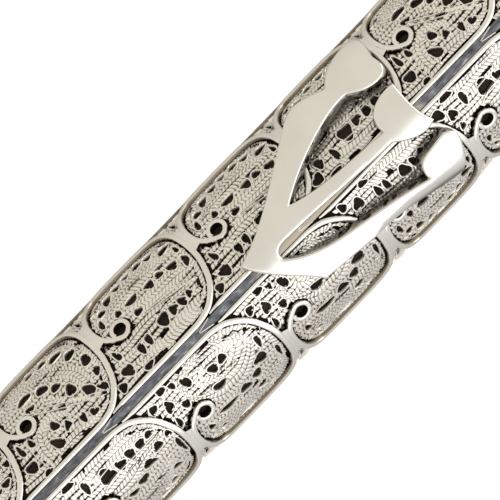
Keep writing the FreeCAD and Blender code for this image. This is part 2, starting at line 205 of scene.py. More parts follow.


# The profile of a flattened twisted wire, and of the rows under the motifs; the length and lean of one
# ridge; and what is left of width, height and brightness in a groove (partly oxide, partly painted shade).
ROPE_ACROSS = np.array([-1.0, -0.74, 0.0, 0.74, 1.0])
ROPE_UP = np.array([0.10, 0.94, 1.0, 0.94, 0.10])
UNDER_ACROSS = np.array([-1.0, -0.68, 0.68, 1.0])
UNDER_UP = np.array([0.15, 1.0, 1.0, 0.15])
RIDGE = 0.45
RIDGE_LEAN = 0.6
GROOVE_WIDTH = 0.95
GROOVE_HEIGHT = 0.90
GROOVE_SHADE = 0.50
ROPE_FOOT_SHADE = 0.30
ROPE_HEIGHT = 0.5


def rope(relief, line, width, twist, closed=False, height=ROPE_HEIGHT, ridge=RIDGE,
         across=ROPE_ACROSS, up=ROPE_UP):
    """One row of flattened twisted wire: slanting ridges three points long."""
    length = line_length(line)
    turns = max(2, round(length / ridge))
    rows = 3 * turns + (0 if closed else 1)
    half_width = np.broadcast_to(width, len(line)) / 2
    stop = np.arange(rows) * length / (3 * turns)
    where = stop[:, None] + twist * across[None, :] * float(np.mean(half_width)) * RIDGE_LEAN
    where = where % length if closed else np.clip(where, 0, length)
    centre, side, wide = at_stops(line, where, half_width, closed)
    groove = (np.arange(rows) % 3 == 0)[:, None]
    reach = wide * across[None, :] * np.where(groove, GROOVE_WIDTH, 1.0)
    up = up[None, :] * np.where(groove, GROOVE_HEIGHT, 1.0)
    if not closed:
        up[0] = up[-1] = 0
    s = centre[0] - side[1] * reach
    z = centre[1] + side[0] * reach
    # Grooves and feet are painted darker: partly oxide, partly painted shade.
    shade = np.where(groove, GROOVE_SHADE, 1.0) * (ROPE_FOOT_SHADE + (1 - ROPE_FOOT_SHADE) * up)
    relief.add_grid(s, z, BASE_RADIUS + height * up, shade, closed)


ROW_OVERLAP = 1.04


def band(relief, edge_a, edge_b, rows, twist, closed):
    """Rows of twisted wire that fill the space between two edges, each row leaning the other way."""
    a = smooth_line(edge_a, closed)
    b = smooth_line(edge_b, closed)
    width = np.hypot(*(b - a).T) / rows
    for row in range(rows):
        middle = a + (b - a) * (row + 0.5) / rows
        lean = twist if row % 2 == 0 else -twist
        rope(relief, middle, width * ROW_OVERLAP, lean, closed)


ROUND_PROFILE = [(-1, 0), (-0.8, 0.62), (-0.3, 0.97), (0.3, 0.97), (0.8, 0.62), (1, 0)]


def wire(relief, points, half_width, height):
    """A plain thin wire."""
    sweep(relief, smooth_line(points, samples=120), half_width, ROUND_PROFILE, height, step=0.14)


# ---- wire patterns of one unit: z is below the arch top, s runs from the rib to the side ----
HOOK_PATH = [
    (0.71, -15.1, 0.24), (0.71, -9.0, 0.26), (0.72, -5.6, 0.28), (0.80, -4.3, 0.30),
    (1.17, -2.9, 0.32), (2.0, -1.75, 0.32), (3.2, -0.8, 0.32), (5.2, -0.12, 0.32),
    (6.9, 0.0, 0.32), (8.6, -0.12, 0.32), (10.6, -0.5, 0.32), (12.6, -1.5, 0.32),
    (14.0, -3.4, 0.32), (14.4, -6.6, 0.32), (14.2, -9.4, 0.32), (13.3, -11.2, 0.32),
    (11.5, -12.3, 0.32), (9.3, -12.7, 0.32), (7.4, -12.5, 0.31), (6.3, -11.85, 0.29),
]
RIB_TAIL = (0.60, -16.7, 0.10)
CURL = (6.35, -10.35)
CURL_LINE_RADIUS = 0.94
CURL_HALF_WIRE = 0.25
CURL_DEGREES = (205, 165, 120, 80, 40, 0, -40, -80, -120)

# Rows beside the frame wire: how far off it, from which point to which, twist and width; and height.
LININGS = [((0.72, 1, 17, 1, 0.58), 0.44), ((1.28, 9, 16, -1, 0.50), 0.40)]


def lining(offset, first, last, twist, width):
    """The row of twisted wire beside a stretch of the frame wire."""
    line = smooth_line([(s, z) for s, z, _ in HOOK_PATH[first:last]])
    tangent = tangents(line)
    beside = np.stack([line[:, 0] + tangent[:, 1] * offset, line[:, 1] - tangent[:, 0] * offset], 1)
    return beside, width, twist


# One unit's openings, each (s, z, width, height, lean in degrees, how much narrower its top is);
# lean and narrowing are 0 where they are left out.
OPENINGS_A = [
    (7.5, -2.4, 1.1, 1.0, 8, 0.4), (8.0, -4.0, 0.9, 0.9), (8.0, -5.4, 1.0, 1.1, 0, -0.3),
    (8.3, -7.6, 0.9, 1.6, 0, 0.1), (8.3, -9.5, 1.0, 0.7, 0, -0.4), (6.8, -1.1, 1.6, 0.6, -5, 0.2),
    (6.5, -7.9, 0.9, 0.8), (8.9, -1.1, 1.2, 0.45, 10), (10.4, -2.0, 1.0, 1.5, 25, 0.2),
    (11.8, -3.6, 1.3, 1.0, 12, 0.2), (12.4, -5.0, 1.6, 1.0, 8, 0.2), (12.6, -6.5, 1.5, 0.95, 0, 0.2),
    (12.2, -7.9, 1.5, 1.0, -5, 0.3), (11.5, -9.4, 1.7, 1.05, -10, 0.3), (10.4, -10.7, 1.2, 0.9, -20),
    (9.0, -11.4, 1.6, 0.55, -8), (3.7, -3.1, 0.8, 0.6, 0, 0.5), (3.6, -4.1, 1.0, 0.75, 0, 0.5),
    (3.7, -5.3, 1.0, 0.85, 0, 0.2), (3.7, -6.7, 1.3, 1.15), (3.3, -9.1, 1.3, 0.55, 0, -0.2),
    (3.2, -10.2, 1.3, 0.6, 0, -0.2), (2.6, -12.6, 1.2, 1.1), (4.6, -12.4, 1.2, 0.55, 10),
    (1.4, -10.8, 0.6, 1.0), (1.7, -14.1, 0.8, 0.9, 20),
]
OPENINGS_B = [
    (3.6, -5.5, 0.9, 0.9), (3.7, -6.8, 0.9, 1.0), (5.7, -7.4, 0.9, 1.3, 0, 0.4), (5.3, -1.9, 1.7, 0.45, 10),
    (7.1, -2.9, 1.2, 1.4, 30), (8.4, -4.2, 1.1, 1.1), (8.7, -5.9, 1.2, 1.2, 0, 0.1), (8.8, -8.3, 0.9, 2.2),
    (8.3, -1.1, 1.9, 0.4, 8), (10.6, -4.6, 1.3, 0.9, 30), (11.8, -3.6, 1.2, 0.5, 40),
    (12.6, -7.2, 0.6, 1.9), (11.0, -10.1, 0.9, 0.6, -25), (9.3, -11.0, 1.2, 0.55, -10),
    (2.6, -9.6, 1.4, 0.7, -15, -0.2), (1.8, -10.8, 0.8, 0.5, -10), (4.3, -11.0, 1.0, 0.7, 0, 0.3),
    (1.3, -11.9, 0.7, 1.0), (3.2, -12.4, 1.4, 0.75, 10), (2.2, -13.7, 1.0, 0.7, 30),
    (5.3, -12.8, 1.4, 0.45, 5),
]
OPENINGS_C = [
    (5.2, -1.4, 0.9, 0.8), (7.1, -1.5, 1.4, 1.0, 0, -0.3), (9.4, -2.4, 1.3, 1.2, 10, -0.2),
    (11.2, -3.7, 1.5, 1.4, 12), (12.4, -5.2, 1.6, 1.0, 8), (12.7, -7.0, 1.6, 0.95),
    (3.4, -2.0, 0.6, 1.3, -55), (4.2, -3.3, 1.6, 0.9, 20), (5.8, -4.6, 1.2, 1.1),
    (7.4, -5.5, 0.9, 1.1, 0, 0.5), (8.6, -6.9, 1.3, 1.2, 10, -0.4), (9.6, -8.9, 1.2, 1.6, 8, -0.2),
    (7.8, -8.9, 0.9, 1.0, -10, 0.4), (2.2, -4.4, 0.7, 0.85), (2.6, -5.6, 1.0, 0.65, 0, 0.3),
    (3.2, -7.2, 0.9, 0.7, -20, 0.4), (4.2, -8.3, 1.0, 0.8), (2.6, -9.2, 0.9, 1.5, -40),
    (4.7, -11.2, 1.0, 0.55), (2.7, -12.8, 1.2, 1.1), (4.9, -12.5, 1.5, 0.5, 8), (1.2, -11.9, 0.5, 0.85),
]
OPENINGS_D = [
    (3.6, -2.3, 0.7, 0.9, 0, 0.2), (3.7, -3.6, 0.95, 1.0, 0, 0.3), (3.7, -5.0, 1.1, 1.0, 0, 0.3),
    (3.8, -6.4, 1.1, 1.0, 0, 0.3), (3.6, -8.2, 1.5, 1.7), (5.2, -1.0, 0.9, 0.6), (7.6, -0.9, 2.4, 0.5),
    (5.4, -2.6, 0.9, 1.1), (6.2, -4.3, 0.9, 1.4, 20, 0.2), (7.2, -6.0, 1.0, 1.2),
    (7.6, -7.6, 0.7, 1.1, 0, 0.3), (9.7, -2.7, 0.8, 1.2, 18), (11.7, -4.1, 1.2, 1.1, 10),
    (12.5, -5.7, 1.4, 1.1), (12.4, -7.5, 1.4, 1.0, -8), (11.7, -9.3, 1.3, 1.0, -15),
    (11.0, -11.0, 1.3, 0.55, -25), (9.1, -11.4, 1.2, 0.55), (2.8, -10.6, 1.4, 0.65, 0, -0.2),
    (3.3, -12.5, 1.0, 1.0), (2.2, -13.7, 1.1, 1.2, 20), (1.3, -11.8, 0.6, 1.5), (5.0, -12.5, 0.9, 0.5, 10),
]

# One unit's bands: two edges, the number of rows between them, their first lean, and whether closed.
BANDS_A = [
    ([(8.8, -1.6), (8.8, -4), (8.9, -7), (9.0, -9.2), (9.2, -10.6)],
     [(10.0, -2.8), (11.3, -4.6), (11.9, -6.5), (11.3, -8.4), (10.0, -10.2)], 4, 1, False),
    ([(5.4, -1.4), (5.6, -3.5), (5.8, -6), (5.9, -7.4)],
     [(6.7, -1.8), (7.3, -3.4), (7.3, -5.9), (7.6, -8.5)], 3, -1, False),
    ([(4.1, -2.2), (4.2, -4.5), (4.35, -7.5), (4.2, -9.6), (3.9, -11.4)],
     [(4.5, -2.1), (4.8, -4.6), (5.35, -7.5), (5.3, -9.3), (5.0, -11.2)], 2, 1, False),
    ([(3.0, -1.8), (2.9, -4.2), (2.85, -7), (2.4, -9.5), (2.2, -11.4)],
     [(2.3, -1.7), (1.35, -3.8), (1.2, -7), (1.2, -9.5), (1.3, -11.6)], 2, -1, False),
]
BANDS_B = [
    ([(3.5, -4.6), (4.3, -5.6), (4.3, -7.0), (3.5, -8.0), (2.85, -7.0), (2.85, -5.6)],
     [(3.7, -3.0), (5.1, -4.9), (5.1, -7.2), (3.9, -9.2), (2.0, -8.0), (2.0, -4.9)], 2, 1, True),
    ([(3.8, -2.9), (5.2, -4.7), (5.3, -6.2), (5.1, -9.0), (3.7, -10.0), (1.9, -8.4), (1.95, -4.8)],
     [(4.6, -2.3), (7.2, -4.4), (7.8, -6.4), (7.4, -8.4), (3.8, -10.7), (1.2, -9.0), (1.2, -4.2)],
     3, -1, True),
    ([(9.2, -1.6), (9.4, -3.4), (9.6, -6), (9.5, -9.2), (9.1, -10.6)],
     [(10.6, -1.5), (12.4, -3.8), (12.9, -6.5), (12.3, -9.2), (10.4, -11.4)], 5, 1, False),
]
BANDS_C = [
    ([(4.4, -2.1), (6.6, -2.4), (8.6, -3.4), (10.3, -5.0), (11.8, -7.6), (11.2, -10.6)],
     [(5.4, -3.8), (6.9, -4.1), (8.2, -5.1), (9.5, -6.5), (10.4, -8.4), (9.6, -11.0)], 3, 1, False),
    ([(3.0, -3.0), (4.4, -5.0), (6.0, -6.7), (6.9, -8.0)],
     [(3.9, -4.0), (5.1, -5.4), (6.6, -6.2), (7.7, -7.6)], 2, -1, False),
    ([(3.6, -6.2), (4.6, -7.8), (4.4, -9.2), (3.2, -9.8), (2.2, -10.0)],
     [(4.4, -6.2), (5.6, -8.2), (5.1, -10.6), (3.2, -11.4), (1.3, -11.3)], 3, 1, False),
    ([(2.0, -3.4), (1.9, -5.4), (2.3, -7.4), (2.0, -9.8)],
     [(1.4, -3.6), (1.2, -5.4), (1.2, -7.6), (1.2, -10.4)], 2, -1, False),
]
BANDS_D = [
    ([(3.2, -1.6), (3.0, -4.0), (3.0, -7.0), (3.4, -9.6)],
     [(2.3, -2.0), (1.3, -4.2), (1.2, -7.0), (1.2, -11.2)], 3, 1, False),
    ([(4.3, -1.6), (4.3, -4.0), (4.5, -7.0), (4.8, -9.4)],
     [(4.9, -1.8), (5.7, -4.4), (6.6, -7.0), (6.4, -8.8)], 3, -1, False),
    ([(7.2, -2.4), (8.0, -5.0), (8.2, -7.5), (8.4, -10.8)],
     [(9.2, -2.8), (11.3, -4.9), (11.8, -7.5), (10.2, -10.9)], 5, 1, False),
]

# One unit's plain thin wires.
WIRES_A = [[(4.95, -1.2), (5.4, -4.6), (5.95, -8.1)], [(4.5, -1.6), (5.0, -4.6), (5.65, -7.8)]]
WIRES_B = [[(1.2, -10.2), (2.6, -10.6), (4.4, -10.1)], [(5.2, -12.0), (3.6, -11.6), (1.9, -12.6)]]
WIRES_C = [[(2.4, -2.2), (4.9, -6.4), (7.0, -9.4)], [(2.8, -2.0), (5.3, -6.1), (7.6, -9.2)],
           [(1.2, -11.5), (3.2, -11.7), (5.4, -11.6)]]
WIRES_D = [[(3.1, -1.9), (2.95, -4.4), (3.0, -8.0), (3.3, -10.0)],
           [(4.2, -1.9), (4.15, -4.4), (4.2, -7.8), (4.7, -9.6)]]

# The small openings and wires at the side, between a frame wire, the next one down and the border.
SIDE_OPENINGS = [(12.8, -13.2, 2.2, 0.45, 8, 0), (14.7, -12.2, 0.6, 0.9, 0, 0),
                 (14.7, -14.6, 0.5, 1.2, 0, 0)]
SIDE_WIRES = [[(13.4, -12.2), (14.2, -12.8), (15.2, -13.4)], [(12.4, -12.5), (13.2, -12.4), (14.0, -11.6)]]
TOP_OPENINGS = [(1.0, -0.9, 0.7, 0.7, 0, 0), (13.4, -0.6, 0.9, 0.7, 0, 0), (14.6, -1.6, 0.5, 0.9, 0, 0)]

DESIGNS = {
    "a": (OPENINGS_A, BANDS_A, WIRES_A),
    "b": (OPENINGS_B, BANDS_B, WIRES_B),
    "c": (OPENINGS_C, BANDS_C, WIRES_C),
    "d": (OPENINGS_D, BANDS_D, WIRES_D),
}
UNIT_DESIGNS = {"front_left": "cdaacdac", "front_right": "dabbdabc", "back_left": "bcdabcda",
                "back_right": "abcdabcd"}
LOOP_HALF_WIRE = 0.14
SMALL_HALF_WIRE = 0.10
SMALL_HEIGHT = 0.48
LOOP_PROFILE = [(-1, 0), (-0.9, 0.55), (-0.4, 0.86), (0.4, 0.86), (0.9, 0.55), (1, 0)]
OPENING_SCALE = 1.10
CURL_OPENING = (CURL[0], CURL[1], 1.5, 1.5, 0, 0)
# Thin gaps between neighbouring rows, spread like a fan below the arch: (s, z, width, length, lean).
FAN_GAPS = [(2.1, -3.3, 0.14, 1.6, 18), (3.0, -2.2, 0.14, 1.1, 38), (4.2, -1.35, 0.12, 1.2, 62),
            (9.8, -0.95, 0.12, 1.3, -72), (11.8, -2.0, 0.16, 1.5, -50), (13.0, -3.5, 0.16, 1.7, -24),
            (13.6, -5.8, 0.14, 1.9, -4), (13.5, -8.2, 0.14, 1.7, 10), (12.4, -10.7, 0.16, 1.4, 45),
            (1.25, -6.2, 0.10, 2.2, 0), (1.3, -9.2, 0.10, 1.8, 0), (5.0, -5.6, 0.10, 2.2, 8),
            (9.8, -6.3, 0.10, 2.4, 0), (8.9, -4.3, 0.10, 1.8, 6), (2.4, -7.6, 0.10, 2.0, 0)]
WIRE_STRAY = 0.05
GAP_STRAY = 0.3


THREE_CORNERS = 0.13
TWO_CORNERS = 0.09
EDGE_POINTS = 12


def bulge(turns, opening):
    """How far an opening's edge strays from an oval: two or three soft corners, different in each."""
    s, _, width, height, lean, _ = opening
    seed = 5 * s + 7 * width + 9 * height + lean
    corners = THREE_CORNERS * np.cos(3 * turns + 1.6 + 2.2 * math.sin(seed))
    return 1 + corners + TWO_CORNERS * np.cos(2 * turns + 3 * math.sin(2.3 * seed))


def egg_points(opening, grow):
    """Points round an opening, as far outside its edge as grow says."""
    s, z, width, height, lean, pinch = opening
    turns = np.arange(EDGE_POINTS) * 2 * math.pi / EDGE_POINTS
    across = (width / 2 + grow) * np.cos(turns) * (1 - pinch * np.sin(turns)) * bulge(turns, opening)
    along = (height / 2 + grow) * np.sin(turns) * bulge(turns, opening)
    tilt = math.radians(lean)
    return np.stack([s + across * math.cos(tilt) + along * math.sin(tilt),
                     z - across * math.sin(tilt) + along * math.cos(tilt)], axis=1)


def inside_opening(points, opening, grow):
    """Which points lie inside an opening grown by that much."""
    s, z, width, height, lean, pinch = opening
    tilt = math.radians(lean)
    ds, dz = points[:, 0] - s, points[:, 1] - z
    across = ds * math.cos(tilt) - dz * math.sin(tilt)
    along = ds * math.sin(tilt) + dz * math.cos(tilt)
    up = along / (height / 2 + grow)
    wide = (width / 2 + grow) * (1 - pinch * np.clip(up, -1, 1))
    return np.hypot(across / wide, up) < bulge(np.arctan2(up, across / wide), opening)


def loop(relief, opening, grow, half_width, height, profile=ROUND_PROFILE, samples=60, step=0.2):
    """A wire bent round an opening."""
    line = smooth_line(egg_points(opening, grow), True, samples)
    sweep(relief, line, half_width, profile, height, True, step)


def strayed(places, most, rng):
    """Hand-laid work: each (s, z) and what follows it, a little off its place."""
    return [(s + rng.uniform(-most, most), z + rng.uniform(-most, most), *rest) for s, z, *rest in places]


def unit_work(design, rng):
    """Twisted rows and plain wires of one unit, drawn below an arch top at height 0."""
    openings, bands, wires = DESIGNS[design]
    openings = [(s, z, width * OPENING_SCALE, height * OPENING_SCALE, *(*shape, 0, 0)[:2])
                for s, z, width, height, *shape in openings]
    rows, plain = Relief(), Relief()
    for edge_a, edge_b, count, twist, closed in bands:
        band(rows, strayed(edge_a, WIRE_STRAY, rng), strayed(edge_b, WIRE_STRAY, rng), count, twist, closed)
    for lining_row, height in LININGS:
        rope(rows, *lining(*lining_row), height=height)
    for opening in openings:
        loop(plain, opening, LOOP_HALF_WIRE * 0.6, LOOP_HALF_WIRE, 0.50, LOOP_PROFILE, 80, 0.17)
    for points in wires:
        wire(plain, strayed(points, WIRE_STRAY, rng), 0.12, 0.56)
    for opening in SIDE_OPENINGS:
        loop(plain, opening, 0.05, SMALL_HALF_WIRE, SMALL_HEIGHT)
    for points in SIDE_WIRES:
        wire(plain, points, SMALL_HALF_WIRE, SMALL_HEIGHT)
    gaps = [(*gap, 0) for gap in strayed(FAN_GAPS, GAP_STRAY, rng)]
    return rows, plain, openings + SIDE_OPENINGS + [CURL_OPENING] + gaps


UNDER_ROWS = 24
FIRST_UNDER_ROW = 0.78
UNDER_PITCH = 0.62
UNDER_WIDTH = 0.64
UNDER_SWAY = 0.14
UNDER_TWIST = 0.7


def under_rows(rng):
    """Rows of twisted wire that run up a whole column under the motifs."""
    rows = Relief()
    heights = np.linspace(-HALF_BODY + 0.1, HALF_BODY - 0.1, 40)
    for index in range(UNDER_ROWS):
        middle = FIRST_UNDER_ROW + index * UNDER_PITCH
        sway = UNDER_SWAY * np.sin(heights * 0.7 + index * 0.5 + rng.uniform(0, 1))
        line = smooth_line(np.stack([middle + sway, heights], 1), samples=1200)
        twist = UNDER_TWIST if index % 2 == 0 else -UNDER_TWIST
        rope(rows, line, UNDER_WIDTH, twist, height=0.34, ridge=0.46, across=UNDER_ACROSS, up=UNDER_UP)
    return rows


OPENING_CLEARANCE = 0.08
OPENING_REACH = 2


def clipped(relief, openings, wires, clearance):
    """Drops the faces of a relief that lie in an opening or under a frame wire."""
    flat = np.vstack(relief.vertices)
    faces = np.vstack(relief.faces)
    middles = flat[faces].mean(axis=1)
    keep = np.ones(len(faces), bool)
    for opening in openings:
        near = np.abs(middles[:, 1] - opening[1]) < OPENING_REACH
        keep[near] &= ~inside_opening(middles[near], opening, OPENING_CLEARANCE)
    for line in wires:
        low, high = line[:, 1].min() - 1, line[:, 1].max() + 1
        near = np.nonzero((middles[:, 1] > low) & (middles[:, 1] < high) & keep)[0]
        closest = np.full(len(near), np.inf)
        for s, z in line[::3]:
            closest = np.minimum(closest, np.hypot(middles[near, 0] - s, middles[near, 1] - z))
        keep[near[closest < clearance]] = False
    used, index = np.unique(faces[keep], return_inverse=True)
    result = Relief()
    result.vertices = [flat[used]]
    result.shades = [np.concatenate(relief.shades)[used]]
    result.faces = [index.reshape(-1, 4)]
    result.count = len(used)
    return result


# ---- turning flat work into pieces ----
def wrapped(s, z, radius):
    """Places flat points round the tube, in metres."""
    angle = s / FLAT_RADIUS
    return np.stack([radius * np.sin(angle), AXIS_Y - radius * np.cos(angle), z], axis=-1) * MM


def add_object(name, data):
    """Puts a mesh, light or camera in the scene."""
    thing = bpy.data.objects.new(name, data)
    bpy.context.scene.collection.objects.link(thing)
    return thing


def mesh_piece(name, vertices, quads, material, shades, body="case"):
    """A smooth mesh piece that rides on a body."""
    mesh = bpy.data.meshes.new(name)
    mesh.vertices.add(len(vertices))
    mesh.vertices.foreach_set("co", np.asarray(vertices, np.float32).ravel())
    mesh.loops.add(quads.size)
    mesh.loops.foreach_set("vertex_index", quads.astype(np.int32).ravel())
    mesh.polygons.add(len(quads))
    mesh.polygons.foreach_set("loop_start", np.arange(0, quads.size, 4, dtype=np.int32))
    mesh.polygons.foreach_set("use_smooth", np.full(len(quads), True))
    attribute = mesh.attributes.new("shade", "FLOAT", "POINT")
    attribute.data.foreach_set("value", np.asarray(shades, np.float32))
    mesh.update(calc_edges=True)
    mesh.validate()
    mesh.set_sharp_from_angle(angle=math.radians(40))
    mesh.materials.append(material)
    piece = add_object(name, mesh)
    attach(piece, body)
    return piece


def relief_piece(name, relief, column, material):
    """Wraps a relief drawn for the front right column into its own column."""
    turn, mirrored = COLUMNS[column]
    flat = np.vstack(relief.vertices)
    faces = np.vstack(relief.faces)
    if not mirrored:
        faces = faces[:, ::-1]
    vertices = wrapped(turn(flat[:, 0]), flat[:, 1], flat[:, 2])
    return mesh_piece(name, vertices, faces, material, np.concatenate(relief.shades))


# ---- materials ----
def new_material(name):
    """A new material with its node tree and shader."""
    material = bpy.data.materials.new(name)
    material.use_nodes = True
    return material, material.node_tree, material.node_tree.nodes["Principled BSDF"]


def set_inputs(node, **values):
    """Sets a node's inputs by name."""
    for name, value in values.items():
        node.inputs[name.replace("_", " ")].default_value = value


def noise(tree, scale, detail, roughness=0.5, stretch=None):
    """Noise in the object's own space, drawn out along an axis where a stretch is given."""
    coordinates = tree.nodes.new("ShaderNodeTexCoord").outputs["Object"]
    if stretch:
        mapping = tree.nodes.new("ShaderNodeMapping")
        set_inputs(mapping, Scale=stretch)
        tree.links.new(coordinates, mapping.inputs["Vector"])
        coordinates = mapping.outputs["Vector"]
    node = tree.nodes.new("ShaderNodeTexNoise")
    set_inputs(node, Scale=scale, Detail=detail, Roughness=roughness)
    tree.links.new(coordinates, node.inputs["Vector"])
    return node.outputs["Fac"]


def ranged(tree, source, low, high, to_low, to_high):
    """Turns the range from low to high into another."""
    node = tree.nodes.new("ShaderNodeMapRange")
    set_inputs(node, From_Min=low, From_Max=high, To_Min=to_low, To_Max=to_high)
    tree.links.new(source, node.inputs["Value"])
    return node.outputs["Result"]


def sums(tree, operation, source, *values):
    """A sum on a source; each value is a number or another node's output."""
    node = tree.nodes.new("ShaderNodeMath")
    node.operation = operation
    tree.links.new(source, node.inputs[0])
    for socket, value in zip(node.inputs[1:], values):
        if isinstance(value, float):
            socket.default_value = value
        else:
            tree.links.new(value, socket)
    return node.outputs[0]


def ramp(tree, source, stops):
    """Colours by position along a source from 0 to 1."""
    node = tree.nodes.new("ShaderNodeValToRGB")
    elements = node.color_ramp.elements
    elements[0].position = stops[0][0]
    elements[0].color = (*stops[0][1], 1)
    elements[1].position = stops[-1][0]
    elements[1].color = (*stops[-1][1], 1)
    for position, colour in stops[1:-1]:
        elements.new(position).color = (*colour, 1)
    tree.links.new(source, node.inputs["Fac"])
    return node.outputs["Color"]


def shade_of(tree):
    """The shade that a piece's mesh carries, 0 deep to 1 worn; the dark end is partly oxide and partly
    painted shade.
    """
    node = tree.nodes.new("ShaderNodeAttribute")
    node.attribute_name = "shade"
    return node.outputs["Fac"]


def bump(tree, shader, source, strength, distance):
    """Small dents or scratches on the shader's surface."""
    node = tree.nodes.new("ShaderNodeBump")
    set_inputs(node, Strength=strength, Distance=distance)
    tree.links.new(source, node.inputs["Height"])
    tree.links.new(node.outputs["Normal"], shader.inputs["Normal"])


def oxide_and_painted_shade_silver(name):
    """Twisted wire: bright on the worn ridges and black in the hollows, the black partly oxide and partly
    painted shade.
    """
    material, tree, shader = new_material(name)
    stain = sums(tree, "MULTIPLY_ADD", noise(tree, 700.0, 3.0), 0.5, -0.25)
    # The ramp paints low shades dark: partly oxide in the hollows, partly painted shade.
    colour = ramp(tree, sums(tree, "ADD", shade_of(tree), stain),
                  [(0.0, (0.015, 0.011, 0.009)), (0.24, (0.06, 0.048, 0.038)),
                   (0.52, (0.42, 0.37, 0.305)), (0.80, (0.95, 0.93, 0.89))])
    tree.links.new(colour, shader.inputs["Base Color"])
    set_inputs(shader, Metallic=0.9, Roughness=0.30)
    return material


def mottled(name, dark, light, roughness, gloss=0.5, scale=500.0):
    """A mottled material that is not metal."""
    material, tree, shader = new_material(name)
    colour = ramp(tree, noise(tree, scale, 4.0), [(0.3, dark), (0.7, light)])
    tree.links.new(colour, shader.inputs["Base Color"])
    set_inputs(shader, Roughness=roughness, Specular_IOR_Level=gloss)
    return material


def shaded_silver(name, roughness, dents, tarnish_and_painted_shade):
    """Solid silver, mottled and slightly dented, polished on its face and painted darker down its walls:
    partly tarnishing, partly painted shade.
    """
    material, tree, shader = new_material(name)
    bright = ramp(tree, noise(tree, 160.0, 4.0), [(0.35, (0.88, 0.86, 0.82)), (0.65, (0.95, 0.935, 0.90))])
    mix = tree.nodes.new("ShaderNodeMix")
    mix.data_type = "RGBA"
    mix.blend_type = "MULTIPLY"
    set_inputs(mix, Factor=1.0)
    tree.links.new(bright, mix.inputs["A"])
    tree.links.new(ramp(tree, shade_of(tree), tarnish_and_painted_shade), mix.inputs["B"])
    tree.links.new(mix.outputs["Result"], shader.inputs["Base Color"])
    set_inputs(shader, Metallic=1.0)
    wear_and_painted_side_shade = ranged(tree, noise(tree, 900.0, 5.0, 0.7), 0.0, 1.0, roughness - 0.07, roughness + 0.10)
    tree.links.new(wear_and_painted_side_shade, shader.inputs["Roughness"])
    bump(tree, shader, noise(tree, 420.0, 2.0), dents, 0.0002)
    return material


LETTER_ENDS = [corner.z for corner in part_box("raised_letter")]
LETTER_MIDDLE = sum(LETTER_ENDS) / 2
LETTER_LENGTH = LETTER_ENDS[1] - LETTER_ENDS[0]


def tarnished_silver(name):
    """The grey ribs: tarnished blue-grey with streaks and rubbed specks, with a painted tan reflection of
    the letter over the letter's height.
    """
    material, tree, shader = new_material(name)
    streaks = ramp(tree, noise(tree, 2600.0, 4.0, 0.65, stretch=(1.0, 1.0, 0.3)),
                   [(0.30, (0.06, 0.062, 0.07)), (0.46, (0.145, 0.154, 0.175)),
                    (0.60, (0.235, 0.252, 0.285)), (0.74, (0.72, 0.72, 0.72))])
    place = tree.nodes.new("ShaderNodeSeparateXYZ")
    tree.links.new(tree.nodes.new("ShaderNodeTexCoord").outputs["Object"], place.inputs["Vector"])
    off_middle = sums(tree, "ABSOLUTE", sums(tree, "SUBTRACT", place.outputs["Z"], LETTER_MIDDLE))
    # Over the letter's height the rib is painted tan: a painted reflection of the letter.
    mix = tree.nodes.new("ShaderNodeMix")
    mix.data_type = "RGBA"
    set_inputs(mix, B=(0.62, 0.56, 0.47, 1))
    tree.links.new(ranged(tree, off_middle, 0.42 * LETTER_LENGTH, 0.50 * LETTER_LENGTH, 1.0, 0.0),
                   mix.inputs["Factor"])
    tree.links.new(streaks, mix.inputs["A"])
    tree.links.new(mix.outputs["Result"], shader.inputs["Base Color"])
    set_inputs(shader, Metallic=1.0, Roughness=0.30)
    return material


def brushed_silver(name, stretch):
    """Silver rubbed with fine grit, which leaves scratches drawn out by the stretch."""
    material, tree, shader = new_material(name)
    scratches = noise(tree, 4500.0, 5.0, 0.7, stretch)
    cloud = ramp(tree, noise(tree, 130.0, 4.0, 0.6),
                 [(0.30, (0.70, 0.675, 0.63)), (0.48, (0.86, 0.845, 0.81)), (0.70, (0.93, 0.92, 0.89))])
    tree.links.new(cloud, shader.inputs["Base Color"])
    tree.links.new(ranged(tree, scratches, 0.0, 1.0, 0.20, 0.46), shader.inputs["Roughness"])
    bump(tree, shader, scratches, 0.25, 0.00005)
    set_inputs(shader, Metallic=1.0)
    return material


# The letter's walls and filed facet are painted darker by their depth: painted shade, on the walls partly
# tarnishing too.
LETTER_SILVER = shaded_silver("letter_silver", 0.20, 0.05,
                              [(0.0, (0.05, 0.04, 0.035)), (0.7, (0.27, 0.258, 0.24)), (0.95, (1, 1, 1))])
TURNED_SILVER = brushed_silver("turned_silver", (0.08, 0.08, 1.0))
# The frame wires' walls are painted dark towards their foot: partly oxide, partly painted shade.
WIRE_SILVER = shaded_silver("wire_silver", 0.25, 0.14,
                            [(0.0, (0.06, 0.05, 0.04)), (0.78, (0.30, 0.255, 0.21)),
                             (0.90, (0.80, 0.76, 0.70)), (0.98, (1, 1, 1))])
RIB_SILVER = tarnished_silver("rib_silver")
SATIN = brushed_silver("satin_silver", (1.0, 1.0, 0.03))
FILIGREE = oxide_and_painted_shade_silver("oxidised_filigree")
# The liner is coloured near black.
BLACK = mottled("blackened_liner", (0.010, 0.008, 0.0065), (0.048, 0.036, 0.028), 0.7, gloss=0.12)
PARCHMENT = mottled("parchment", (0.70, 0.60, 0.44), (0.84, 0.76, 0.60), 0.8, scale=120.0)


